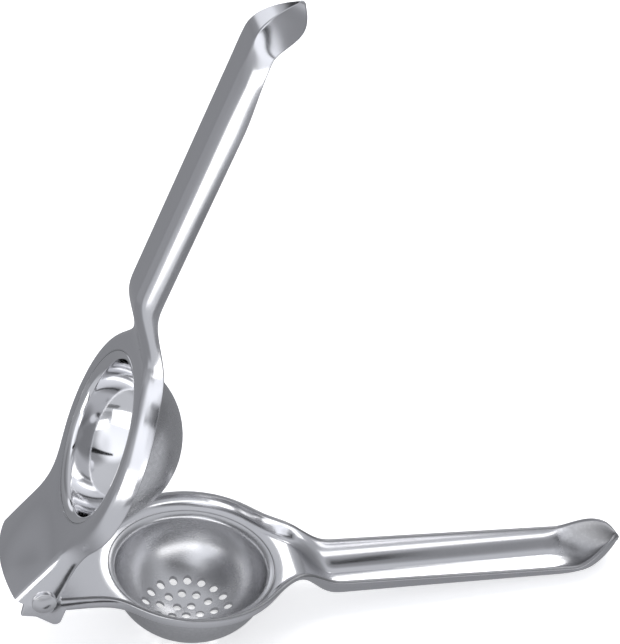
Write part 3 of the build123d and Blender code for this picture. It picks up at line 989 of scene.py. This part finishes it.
class SQUEEZER_OT_bowl(bpy.types.Operator):
    """Strainer bowl: drawn cup with a rounded lip, a small flat foot and drain holes"""

    bl_idname = "squeezer.bowl"
    bl_label = "Strainer bowl"

    def execute(self, context):
        sizes, finish = scene_settings()
        drain = mm(sizes.drain)
        holes = []
        for radius, count in DRAIN_RINGS:
            turns = np.arange(count) * 2 * math.pi / count
            holes += [(radius * math.cos(a), radius * math.sin(a), drain) for a in turns]
        profiles = cup_profile(
            radii=(27.6, 28.8), reaches=(22.6, 23.8), lip=-1.6, rims=(1.5, 0.0), foot=4.5,
            start=drain, edge=mm(sizes.mouth) - CUP_GAP,
        )
        parts = [cup_surface(profiles, mm(sizes.seam), holes)]
        material = steel("Satin bowl", finish.bowl_color, rough=0.24, lines=0.05,
                         turn=grain(sizes, "lower"), rub=0.1)
        put_mesh("Strainer_bowl", parts, sizes, "lower", ["strainer_bowl"], material)
        return {"FINISHED"}


class SQUEEZER_OT_dome(bpy.types.Operator):
    """Press dome: drawn cup set in the upper ring, bright inside"""

    bl_idname = "squeezer.dome"
    bl_label = "Press dome"

    def execute(self, context):
        sizes, finish = scene_settings()
        profiles = cup_profile(
            radii=(27.0, 28.2), reaches=(25.1, 26.3), lip=3.2, rims=(0.0, 1.5), foot=2.5,
            start=0.0, edge=mm(sizes.mouth) - CUP_GAP,
        )
        parts = [cup_surface(profiles, mm(sizes.seam), [])]
        material = steel("Bright dome", finish.dome_color, rough=0.07, lines=0.02,
                         turn=grain(sizes, "upper"), smudge=0.03, rub=0.5)
        put_mesh("Press_dome", parts, sizes, "upper", ["press_dome"], material)
        return {"FINISHED"}


class SQUEEZER_OT_rivets(bpy.types.Operator):
    """Two rivets that the levers turn on, headed outside and closed inside"""

    bl_idname = "squeezer.rivets"
    bl_label = "Rivets"

    def execute(self, context):
        sizes, finish = scene_settings()
        material = steel("Rivet steel", finish.rivet_color, rough=0.22, lines=0.02,
                         turn=(0, 0, 0), smudge=0.1)
        for side, name, node in (
            (-1, "Right_rivet", "right_rivet"), (1, "Left_rivet", "left_rivet"),
        ):
            points, *rest = turned(rivet_profile() * [1, side], RIVET_SECTORS)
            parts = [(points + [0, 0, PIN_LOWER], *rest)]
            put_mesh(name, parts, sizes, "lower", [node], material)
        return {"FINISHED"}


class SQUEEZER_OT_stage(bpy.types.Operator):
    """Camera, pale floor, soft studio light and reflector cards"""

    bl_idname = "squeezer.stage"
    bl_label = "Stage"

    def execute(self, context):
        scene, stage = context.scene, context.scene.squeezer_stage

        def link(name, data):
            """A new object in the scene."""
            made = bpy.data.objects.new(name, data)
            scene.collection.objects.link(made)
            return made

        def sheet(name, corners, paint):
            """A flat four-cornered sheet that isn't part of the squeezer."""
            mesh = bpy.data.meshes.new(name)
            mesh.from_pydata(corners, [], [(0, 1, 2, 3)])
            mesh.materials.append(paint)
            made = link(name, mesh)
            return made

        camera = link("Camera", bpy.data.cameras.new("Camera"))
        camera.location = stage.camera_at
        camera.rotation_euler = stage.camera_turn
        camera.data.lens = stage.lens
        camera.data.sensor_width = 36
        camera.data.shift_x, camera.data.shift_y = stage.lens_shift
        camera.data.clip_start, camera.data.clip_end = 0.01, 50
        scene.camera = camera

        corners = [(x * FLOOR_REACH, y * FLOOR_REACH, 0)
                   for x, y in ((-1, -1), (1, -1), (1, 1), (-1, 1))]
        sheet("Floor", corners, floor_paint(stage.floor_color, stage.floor_glow))
        for name, place, target, size, power, mirrored in LAMPS:
            lamp = bpy.data.lights.new(name, "AREA")
            lamp.shape = "RECTANGLE"
            lamp.size, lamp.size_y = size
            lamp.energy = power * stage.light
            holder = link(name, lamp)
            holder.location = place
            holder.visible_camera = False
            holder.visible_glossy = mirrored
            holder.rotation_mode = "QUATERNION"
            aim = Vector(target) - holder.location
            holder.rotation_quaternion = aim.to_track_quat("-Z", "Y")
        for name, level, corners in CARDS:
            card = sheet(name, corners, card_paint(name, level))
            card.visible_camera = card.visible_diffuse = card.visible_shadow = False

        scene.world = bpy.data.worlds.new("Studio")
        scene.world.use_nodes = True
        paint_room(scene.world.node_tree)
        scene.view_settings.view_transform = "Standard"
        return {"FINISHED"}


class SQUEEZER_PT_panel(bpy.types.Panel):
    """Sidebar panel with the pieces of the squeezer"""

    bl_idname = "SQUEEZER_PT_panel"
    bl_label = "Lemon squeezer"
    bl_space_type = "VIEW_3D"
    bl_region_type = "UI"
    bl_category = "Squeezer"

    def draw(self, context):
        for settings in (context.scene.squeezer_sizes, context.scene.squeezer_finish,
                         context.scene.squeezer_stage):
            box = self.layout.box()
            for label in settings.__annotations__:
                box.prop(settings, label)
        for operator in OPERATORS:
            self.layout.operator(operator.bl_idname)


OPERATORS = (
    SQUEEZER_OT_lower_lever, SQUEEZER_OT_upper_lever, SQUEEZER_OT_bowl, SQUEEZER_OT_dome,
    SQUEEZER_OT_rivets, SQUEEZER_OT_stage,
)
CLASSES = (SqueezerSizes, SqueezerFinish, SqueezerStage, *OPERATORS, SQUEEZER_PT_panel)


def register():
    """Registers the classes and hangs the settings on the scene."""
    for kind in CLASSES:
        bpy.utils.register_class(kind)
    bpy.types.Scene.squeezer_sizes = PointerProperty(type=SqueezerSizes)
    bpy.types.Scene.squeezer_finish = PointerProperty(type=SqueezerFinish)
    bpy.types.Scene.squeezer_stage = PointerProperty(type=SqueezerStage)


def unregister():
    """Takes back what register did."""
    del bpy.types.Scene.squeezer_stage
    del bpy.types.Scene.squeezer_finish
    del bpy.types.Scene.squeezer_sizes
    for kind in reversed(CLASSES):
        bpy.utils.unregister_class(kind)


def main():
    """Makes every piece and the stage."""
    register()
    bpy.ops.squeezer.lower_lever()
    bpy.ops.squeezer.upper_lever()
    bpy.ops.squeezer.bowl()
    bpy.ops.squeezer.dome()
    bpy.ops.squeezer.rivets()
    bpy.ops.squeezer.stage()


if __name__ == "__main__":
    main()
